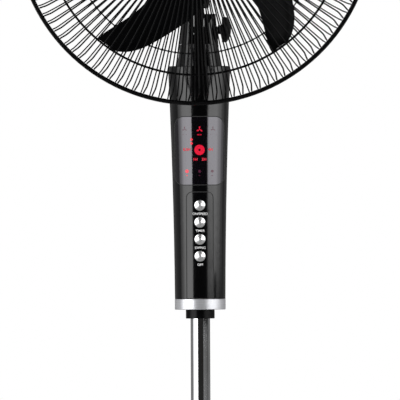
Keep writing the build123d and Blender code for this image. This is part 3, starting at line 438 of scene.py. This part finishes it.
# The unlit marks get a faint painted glow: emission strength 0.05 though no lamp lights them.
UNLIT_MARK_PAINTED_GLOW = lit_mark("unlit_rose_mark_painted_glow", (0.05, 0.008, 0.022), 0.05)


def print_white():
    """Printed lettering with slightly worn ink."""
    f = Finish("white_print", (0.62, 0.62, 0.62))
    skin = f.group(SKIN, Grain_per_metre=2600.0, Peel_per_metre=900.0, Grain_share=0.6,
                   Rough_low=0.35, Rough_high=0.5, Dust=0.0)
    f.tree.links.new(f.place, skin.inputs["Vector"])
    worn = spread(f.tree, skin.outputs["Height"], 0.7, 1.05, (0.3, 0.6))
    f.link(f.toned(worn), "Base Color")
    f.link(skin.outputs["Roughness"], "Roughness")
    f.bump(skin.outputs["Height"], 0.01)
    return f.material


def board_green():
    """Lacquered circuit board with tracks in its copper."""
    f = Finish("lacquered_board", (0.012, 0.11, 0.045))
    brick = f.tree.nodes.new("ShaderNodeTexBrick")
    turn = f.tree.nodes.new("ShaderNodeMapping")
    turn.inputs["Rotation"].default_value = (math.radians(90), 0, 0)
    f.tree.links.new(f.place, turn.inputs["Vector"])
    f.tree.links.new(turn.outputs[0], brick.inputs["Vector"])
    brick.inputs["Scale"].default_value = 240.0
    brick.inputs["Mortar Size"].default_value = 0.06
    brick.inputs["Color1"].default_value = (0.010, 0.10, 0.04, 1)
    brick.inputs["Color2"].default_value = (0.013, 0.13, 0.05, 1)
    brick.inputs["Mortar"].default_value = (0.03, 0.22, 0.08, 1)
    f.link(brick.outputs["Color"], "Base Color")
    rough = spread(f.tree, brick.outputs["Fac"], 0.28, 0.4)
    f.link(rough, "Roughness")
    f.bump(brick.outputs["Fac"], 0.05)
    return f.material


def copper_wound():
    """Lacquered copper wound round the coil heads."""
    f = Finish("wound_copper", (0.42, 0.15, 0.05), 0.9)
    wave = f.tree.nodes.new("ShaderNodeTexWave")
    wave.bands_direction = "Y"
    wave.inputs["Scale"].default_value = 420.0
    wave.inputs["Distortion"].default_value = 3.0
    wave.inputs["Detail"].default_value = 2.0
    f.tree.links.new(f.place, wave.inputs["Vector"])
    f.link(f.toned(spread(f.tree, wave.outputs["Fac"], 0.55, 1.1)), "Base Color")
    f.link(spread(f.tree, wave.outputs["Fac"], 0.45, 0.25), "Roughness")
    f.bump(wave.outputs["Fac"], 0.25)
    return f.material


PRINT_WHITE = print_white()
BOARD = board_green()
COPPER = copper_wound()
FINISH_OF_SLOT = {
    "gloss_black": GLOSS_BLACK, "satin_black": SATIN_BLACK, "chrome": CHROME,
    "satin_silver": TRIM_SILVER, "wire_black": WIRE_BLACK, "black_steel": STEEL_BLACK,
    "blade_black": BLADE_BLACK, "smoked_window": SMOKED, "cast_iron": CAST_IRON,
    "rubber": RUBBER, "nylon_white": NYLON, "board_green": BOARD, "copper_wound": COPPER,
    "bronze": BRONZE, "aluminium_cast": CAST_ALLOY, "laminated_steel": LAMINATED,
    "zinc_steel": ZINC,
}


def dress_cad_nodes():
    """Gives every carried-over node its finish by the slot it was packed with."""
    for obj in nodes.values():
        for place in obj.material_slots:
            slot = place.material.name.split(".")[0] if place.material else "satin_black"
            place.material = FINISH_OF_SLOT.get(slot, SATIN_BLACK)


dress_cad_nodes()


# ---- display and lettering ----------------------------------------------------------------
def make_front_skin():
    """One copy of the column's front to lay thin marks on; it is removed at the end."""
    parts = [copied(nodes[name])
             for name in ("column_front_shell", "display_window", "button_strip")]
    for part in parts:
        part.parent = None
    return join("front_skin", parts)


front_skin = make_front_skin()


def lay_on_front(obj, lift_mm, thick_mm):
    """Drops a flat mark on the column's front and gives it a thickness."""
    hold = obj.modifiers.new("lay", "SHRINKWRAP")
    hold.wrap_method = "PROJECT"
    hold.use_project_y = True
    hold.use_positive_direction = True
    hold.use_negative_direction = False
    hold.target = front_skin
    hold.wrap_mode = "ON_SURFACE"
    apply_modifiers(obj)
    edit(obj)
    bpy.ops.mesh.select_all(action="SELECT")
    bpy.ops.transform.translate(value=(0, -lift_mm * MM, 0))
    bpy.ops.mesh.extrude_region_move(TRANSFORM_OT_translate={"value": (0, -thick_mm * MM, 0)})
    drop_selection()
    return outward(obj)


def lettering(name, words, x, z, size_mm, bold_mm=0.0):
    """A line of letters as a mesh, standing in front of the column."""
    drop_selection()
    bpy.ops.object.text_add(location=(x * MM, IN_FRONT, z * MM),
                            rotation=(math.radians(90), 0, 0))
    line = named(name)
    line.data.body = words
    line.data.size = size_mm * MM
    line.data.align_x = "CENTER"
    line.data.align_y = "CENTER"
    line.data.offset = bold_mm * MM
    line.data.resolution_u = 4
    bpy.ops.object.convert(target="MESH")
    return settle(named(name))


def disc(name, x, z, radius_mm, rings=3, hole_mm=0.0):
    """A flat round mark with enough rings to follow a curved face."""
    drop_selection()
    bpy.ops.mesh.primitive_circle_add(vertices=40, radius=radius_mm * MM, fill_type="NGON",
                                      location=(x * MM, IN_FRONT, z * MM),
                                      rotation=(math.radians(90), 0, 0))
    mark = settle(named(name))
    edit(mark)
    bpy.ops.mesh.select_all(action="SELECT")
    step = (radius_mm - hole_mm) * MM / (rings + (0 if hole_mm else 1))
    for _ in range(rings):
        bpy.ops.mesh.inset(thickness=step)
    if hole_mm:
        bpy.ops.mesh.delete(type="FACE")
    drop_selection()
    return mark


def bar(name, x, z, wide_mm, high_mm, turn_deg=0.0):
    """A small flat bar with softened ends."""
    drop_selection()
    bpy.ops.mesh.primitive_plane_add(size=1, location=(0, 0, 0))
    mark = named(name)
    mark.scale = (wide_mm * MM, high_mm * MM, 1)
    settle(mark)
    edit(mark, "VERT")
    bpy.ops.mesh.select_all(action="SELECT")
    bpy.ops.mesh.bevel(offset=min(wide_mm, high_mm) * 0.45 * MM, segments=3, affect="VERTICES")
    drop_selection()
    mark.rotation_euler = (math.radians(90), math.radians(turn_deg), 0)
    mark.location = (x * MM, IN_FRONT, z * MM)
    return settle(mark)


def fan_sign(name, x, z, radius_mm):
    """Three-bladed fan sign: three rounded petals round a dot."""
    parts = [disc(name + "_dot", x, z, radius_mm * 0.2, 1)]
    for index in range(3):
        angle = math.radians(90 + 120 * index)
        cx = x + math.cos(angle) * radius_mm * 0.62
        cz = z + math.sin(angle) * radius_mm * 0.62
        parts.append(bar(f"{name}_petal_{index}", cx, cz, radius_mm * 0.42, radius_mm * 0.8,
                         math.degrees(math.pi / 2 - angle) + 14))
    return join(name, parts)


def display_marks():
    """Lit signs behind the window, and unlit signs given a faint painted glow."""
    lit = [fan_sign("fan_sign", 0.2, 851.6, 3.9), bar("fan_rule", 0.0, 845.2, 5.2, 1.3),
           disc("round_lamp", 0.0, 826.5, 6.35, 3, 1.4),
           disc("lamp_dot_high", -9.8, 839.3, 1.7, 1), disc("lamp_dot_low", -9.8, 834.6, 1.7, 1),
           lettering("hours_half", "0.5H", -15.6, 827.0, 4.6, 0.16),
           lettering("hours_four", "4H", 13.4, 827.0, 4.6, 0.16),
           lettering("hours_one", "1H", -5.4, 814.8, 4.6, 0.16),
           lettering("hours_two", "2H", 5.6, 814.8, 4.6, 0.16),
           disc("swing_lamp", -15.6, 800.3, 2.3, 1), bar("swing_rule", -15.6, 795.0, 2.0, 1.2)]
    dim = [fan_sign("fan_sign_left", -18.4, 852.2, 3.0), bar("rule_left", -18.0, 845.4, 5.0, 0.9),
           fan_sign("fan_sign_right", 16.6, 852.2, 3.0), bar("rule_right", 17.4, 845.4, 7.0, 0.9),
           disc("lamp_mid", 0.0, 800.3, 1.8, 1), bar("rule_mid", 0.0, 795.0, 2.0, 0.9),
           disc("lamp_right", 15.6, 800.3, 1.8, 1), bar("rule_far", 15.6, 795.0, 2.0, 0.9)]
    red = lay_on_front(join("display_marks_lit", lit), 0.01, 0.06)
    rose = lay_on_front(join("display_marks_unlit", dim), 0.01, 0.05)
    finish_piece(red, "column", RED_MARK)
    # the unlit marks carry a faint painted glow
    finish_piece(rose, "column", UNLIT_MARK_PAINTED_GLOW)


def button_labels():
    """White word under each button."""
    lines = []
    for name, words in BUTTONS:
        low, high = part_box("button_" + name)
        z = (low.z + high.z) / 2 / MM - 10.6
        lines.append(lettering("word_" + name, words, 0.3, z, 4.1, 0.02))
    words = lay_on_front(join("button_labels", lines), 0.01, 0.05)
    finish_piece(words, "column", PRINT_WHITE)


def seam(name, x_half, z_low, z_high, corner, wide, square_foot):
    """Thin dark bead laid over the gap round an inset panel; sizes in millimetres.

    With a square foot, only the two upper corners are round.
    """
    drop_selection()
    bpy.ops.mesh.primitive_plane_add(size=1, location=(0, 0, 0))
    bead = named(name)
    bead.scale = ((2 * x_half + wide) * MM, (z_high - z_low + wide) * MM, 1)
    settle(bead)
    edit(bead, "VERT")
    bpy.ops.object.mode_set(mode="OBJECT")
    for point in bead.data.vertices:
        point.select = point.co.y > 0 or not square_foot
    bpy.ops.object.mode_set(mode="EDIT")
    bpy.ops.mesh.bevel(offset=(corner + wide / 2) * MM, segments=10, affect="VERTICES")
    bpy.ops.mesh.select_mode(type="FACE")
    bpy.ops.mesh.select_all(action="SELECT")
    bpy.ops.mesh.inset(thickness=wide * MM)
    bpy.ops.mesh.delete(type="FACE")
    pick_edges(bead, lambda a, b: (a - b).length > 4 * MM)
    bpy.ops.mesh.subdivide(number_cuts=24)
    drop_selection()
    bead.rotation_euler = (math.radians(90), 0, 0)
    bead.location = (0, IN_FRONT, (z_low + z_high) / 2 * MM)
    settle(bead)
    lay_on_front(bead, 0.0, 0.12)
    finish_piece(bead, "column", RUBBER)
    return bead


def panel_seams():
    """Beads round the window and the button strip."""
    for node, corner, square_foot in (("display_window", WINDOW_CORNER_MM, False),
                                      ("button_strip", STRIP_CORNER_MM, True)):
        low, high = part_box(node)
        seam(node + "_bead", high.x / MM, low.z / MM, high.z / MM, corner, 0.95, square_foot)


display_marks()
button_labels()
panel_seams()


# ---- buttons ------------------------------------------------------------------------------
def button_cap(name):
    """Domed spun cap with a rounded rim and fine steps, replacing the plain button."""
    low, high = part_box("button_" + name)
    z = (low.z + high.z) / 2
    face = low.y
    drop_selection()
    bpy.ops.mesh.primitive_cylinder_add(vertices=96, radius=BUTTON_MM * MM, depth=8 * MM,
                                        end_fill_type="NGON",
                                        location=(0, face + 5.6 * MM, z),
                                        rotation=(math.radians(90), 0, 0))
    cap = settle(named("cap_" + name))
    pick_faces(cap, lambda middle, normal: normal.y < -0.9)
    steps = ((0.15, 0.30), (0.30, 0.20), (1.4, 0.60), (1.5, 0.62), (1.5, 0.60), (1.2, 0.40),
             (0.35, 0.04))
    for inward, forward in steps:
        bpy.ops.mesh.inset(thickness=inward * MM)
        bpy.ops.transform.translate(value=(0, -forward * MM, 0))
    pick_faces(cap, lambda middle, normal: normal.y > 0.9)
    bpy.ops.mesh.inset(thickness=3.6 * MM)
    bpy.ops.mesh.extrude_region_move(TRANSFORM_OT_translate={
        "value": (0, high.y - (face + 9.6 * MM), 0)})
    outward(cap)
    smooth(cap, 30)
    material = tooled("spun_cap_" + name, (0.80, 0.80, 0.81), "XZ", 5200.0, (0.20, 0.32), 0.006,
                      (0, 0, z), 0.15, "Y", 0.6)
    finish_piece(cap, name + "_button", material)
    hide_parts("button_" + name)


for button, _ in BUTTONS:
    button_cap(button)


# ---- guard --------------------------------------------------------------------------------
def ring_depth(node, radius_mm):
    """The y of a ring of the guard, read from its mesh at its own radius."""
    found = []
    for point in nodes[node].data.vertices:
        far = math.hypot(point.co.x - FAN_X, point.co.z - FAN_Z)
        if abs(far - radius_mm * MM) < 1.6 * MM:
            found.append(point.co.y)
    return (min(found) + max(found)) / 2


def weld_nuggets(name, node, radius_mm, wire_mm, phase):
    """Small flattened welds where one ring crosses every rib of its guard.

    The phase is the first rib's place, as a share of the step between two ribs.
    """
    first = math.radians(-RIB_STEP * phase)
    drop_selection()
    bpy.ops.mesh.primitive_cylinder_add(vertices=8, radius=0.95 * MM, depth=2.6 * MM,
                                        end_fill_type="NGON")
    nugget = named(name)
    for side in (-1, 1):
        pick_faces(nugget, lambda middle, normal: normal.z * side > 0.9)
        bpy.ops.mesh.inset(thickness=0.45 * MM)
        bpy.ops.transform.translate(value=(0, 0, side * 0.55 * MM))
    drop_selection()
    nugget.scale = (1.25, 0.8, 1.0)
    nugget.location = (0, ring_depth(node, radius_mm) - wire_mm * MM, -radius_mm * MM)
    settle(nugget)
    centre = Matrix.Translation((FAN_X, 0, FAN_Z))
    nugget.matrix_world = centre @ Matrix.Rotation(first, 4, "Y")
    settle(nugget)
    pivot = bpy.data.objects.new("pivot", None)
    bpy.context.scene.collection.objects.link(pivot)
    step = Matrix.Rotation(math.radians(-RIB_STEP), 4, "Y")
    pivot.matrix_world = centre @ step @ centre.inverted()
    bpy.context.view_layer.update()
    row = nugget.modifiers.new("round", "ARRAY")
    row.count = RIBS
    row.use_relative_offset = False
    row.use_object_offset = True
    row.offset_object = pivot
    apply_modifiers(nugget)
    bpy.data.objects.remove(pivot)
    smooth(outward(nugget), 50)
    return nugget


def medallion_ring():
    """Bright ring let into the guard's centre cap."""
    low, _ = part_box("front_medallion")
    drop_selection()
    bpy.ops.mesh.primitive_circle_add(vertices=96, radius=40.6 * MM, fill_type="NGON",
                                      rotation=(math.radians(90), 0, 0),
                                      location=(FAN_X, low.y + 3.2 * MM, FAN_Z))
    ring = settle(named("medallion_ring"))
    edit(ring)
    bpy.ops.mesh.select_all(action="SELECT")
    for inward, forward in ((0.35, 0.75), (0.5, 0.35), (1.1, 0.10), (1.1, 0.05), (0.5, -0.10)):
        bpy.ops.mesh.inset(thickness=inward * MM)
        bpy.ops.transform.translate(value=(0, -forward * MM, 0))
    bpy.ops.mesh.inset(thickness=0.35 * MM)
    bpy.ops.transform.translate(value=(0, 1.6 * MM, 0))
    bpy.ops.mesh.delete(type="FACE")
    drop_selection()
    outward(ring)
    wall = ring.modifiers.new("wall", "SOLIDIFY")
    wall.thickness = 0.4 * MM
    wall.offset = -1
    apply_modifiers(ring)
    smooth(ring, 30)
    finish_piece(ring, "head", RING_SILVER)


def guard_details():
    """Welds on both guards, and the ring of the centre cap."""
    spots = [weld_nuggets("welds_front", "front_guard_rings", FRONT_RING_MM, 1.35, 0.5),
             weld_nuggets("welds_front_inner", "front_guard_rings", CENTRE_RING_MM, 1.5, 0.5),
             weld_nuggets("welds_rear", "rear_guard_rings", REAR_RING_MM, 0.8, 0.0)]
    welds = join("guard_welds", spots)
    finish_piece(welds, "head", WIRE_BLACK)
    medallion_ring()


guard_details()


# ---- studio -------------------------------------------------------------------------------
def pale_floor():
    """Plain pale floor with a painted darker reflection: glossy rays see it darker, so that the
    bright pole stands out from it.
    """
    drop_selection()
    bpy.ops.mesh.primitive_circle_add(vertices=96, radius=4.0, fill_type="NGON",
                                      location=(0, 0, -0.0005))
    floor = named("floor")
    f = Finish("pale_floor", (0.60, 0.60, 0.597))
    skin = f.group(SKIN, Grain_per_metre=300.0, Peel_per_metre=6.0, Rough_low=0.5,
                   Rough_high=0.6, Dust=0.0)
    f.tree.links.new(f.place, skin.inputs["Vector"])
    tone = spread(f.tree, skin.outputs["Tone"], 0.98, 1.02, (0.8, 1.2))
    # painted reflection: glossy rays get a darker floor colour than camera and diffuse rays
    mirrored = f.tree.nodes.new("ShaderNodeLightPath").outputs["Is Glossy Ray"]
    f.link(f.mixed(mirrored, f.toned(tone), (0.16, 0.16, 0.158)), "Base Color")
    f.link(skin.outputs["Roughness"], "Roughness")
    floor.data.materials.append(f.material)


def surround():
    """White behind the object, soft light on the floor, and a dim warm room to mirror."""
    world = bpy.data.worlds.new("studio")
    bpy.context.scene.world = world
    world.use_nodes = True
    tree = world.node_tree
    tree.nodes.clear()
    out = tree.nodes.new("ShaderNodeOutputWorld")
    path = tree.nodes.new("ShaderNodeLightPath")
    shown = None
    for ray, colour, strength in ((None, (1.0, 0.97, 0.93), 0.022),
                                  ("Is Diffuse Ray", (1.0, 1.0, 1.0), 0.95),
                                  ("Is Camera Ray", (1.0, 1.0, 1.0), 1.0)):
        glow = tree.nodes.new("ShaderNodeBackground")
        glow.inputs["Color"].default_value = (*colour, 1)
        glow.inputs["Strength"].default_value = strength
        if ray is None:
            shown = glow.outputs[0]
            continue
        mix = tree.nodes.new("ShaderNodeMixShader")
        tree.links.new(path.outputs[ray], mix.inputs[0])
        tree.links.new(shown, mix.inputs[1])
        tree.links.new(glow.outputs[0], mix.inputs[2])
        shown = mix.outputs[0]
    tree.links.new(shown, out.inputs[0])


def softbox(name, azimuth, far, wide, z_low, z_high, radiance, fade):
    """Upright rectangular light facing the object; fade lists (share of width, strength)."""
    a = math.radians(azimuth)
    high = z_high - z_low
    lamp = bpy.data.lights.new(name, "AREA")
    lamp.shape = "RECTANGLE"
    lamp.size = wide
    lamp.size_y = high
    lamp.energy = radiance * math.pi * wide * high
    lamp.use_nodes = True
    tree = lamp.node_tree
    glow = tree.nodes["Emission"]
    place_on_lamp = tree.nodes.new("ShaderNodeNewGeometry")
    split = tree.nodes.new("ShaderNodeSeparateXYZ")
    ramp = tree.nodes.new("ShaderNodeValToRGB")
    ramp.color_ramp.interpolation = "EASE"
    points = ramp.color_ramp.elements
    while len(points) < len(fade):
        points.new(0.5)
    for point, (share, strength) in zip(points, fade):
        point.position = share
        point.color = (strength, strength, strength, 1)
    tree.links.new(place_on_lamp.outputs["Parametric"], split.inputs[0])
    tree.links.new(split.outputs["X"], ramp.inputs["Fac"])
    tree.links.new(ramp.outputs["Color"], glow.inputs["Strength"])
    obj = bpy.data.objects.new(name, lamp)
    bpy.context.scene.collection.objects.link(obj)
    place = Vector((math.sin(a) * far, -math.cos(a) * far, (z_low + z_high) / 2))
    obj.location = place
    aim = Vector((0, 0, place.z)) - place
    obj.rotation_euler = aim.to_track_quat("-Z", "Y").to_euler()
    obj.visible_camera = False
    return obj


def overhead():
    """Broad soft light above."""
    lamp = bpy.data.lights.new("overhead", "AREA")
    lamp.shape = "DISK"
    lamp.size = 3.0
    lamp.energy = 1.1 * math.pi * math.pi * 1.5 ** 2
    obj = bpy.data.objects.new("overhead", lamp)
    bpy.context.scene.collection.objects.link(obj)
    obj.location = (0, 0.3, 3.6)
    obj.visible_camera = False


pale_floor()
surround()
softbox("left_softbox", -66.0, 2.0, 2.7, 0.05, 3.4, 3.5,
        ((0.0, 0.0), (0.22, 0.32), (0.5, 0.9), (0.72, 1.0)))
softbox("right_softbox", 74.0, 2.0, 3.6, 0.64, 3.4, 3.6,
        ((0.0, 0.25), (0.10, 0.95), (0.45, 0.9), (0.66, 0.5), (0.85, 0.12), (1.0, 0.06)))
softbox("right_low", 66.0, 2.0, 2.4, 0.02, 0.60, 0.16, ((0.0, 1.0), (1.0, 0.6)))
softbox("left_back", -128.0, 2.3, 2.6, 0.05, 3.4, 0.24, ((0.0, 0.8), (1.0, 0.8)))
softbox("right_back", 132.0, 2.3, 2.6, 0.05, 3.4, 0.20, ((0.0, 0.8), (1.0, 0.8)))
overhead()

scene = bpy.context.scene
scene.view_settings.view_transform = "Standard"
scene.view_settings.look = "None"

VIEW_FAR = 14.0                   # metres from the camera to the aim point
VIEW_WIDE = 0.492                 # metres across the frame at the aim point
VIEW_LOW = math.radians(0.3)      # the camera looks up by this much
VIEW_ROLL = math.radians(-0.27)


def level_camera():
    """Distant camera in front of the column, nearly without perspective."""
    lens = bpy.data.cameras.new("view")
    lens.sensor_width = 36.0
    lens.lens = lens.sensor_width * VIEW_FAR / VIEW_WIDE
    lens.clip_start = 0.5
    lens.clip_end = 120.0
    camera = bpy.data.objects.new("view", lens)
    scene.collection.objects.link(camera)
    aim_point = Vector((0.0003, -0.033, 0.7649))
    toward = Vector((0, math.cos(VIEW_LOW), math.sin(VIEW_LOW)))
    camera.location = aim_point - toward * VIEW_FAR
    camera.rotation_mode = "QUATERNION"
    camera.rotation_quaternion = toward.to_track_quat("-Z", "Y")
    camera.rotation_mode = "XYZ"
    camera.rotation_euler.rotate_axis("Z", VIEW_ROLL)
    scene.camera = camera


level_camera()

bpy.data.objects.remove(front_skin)
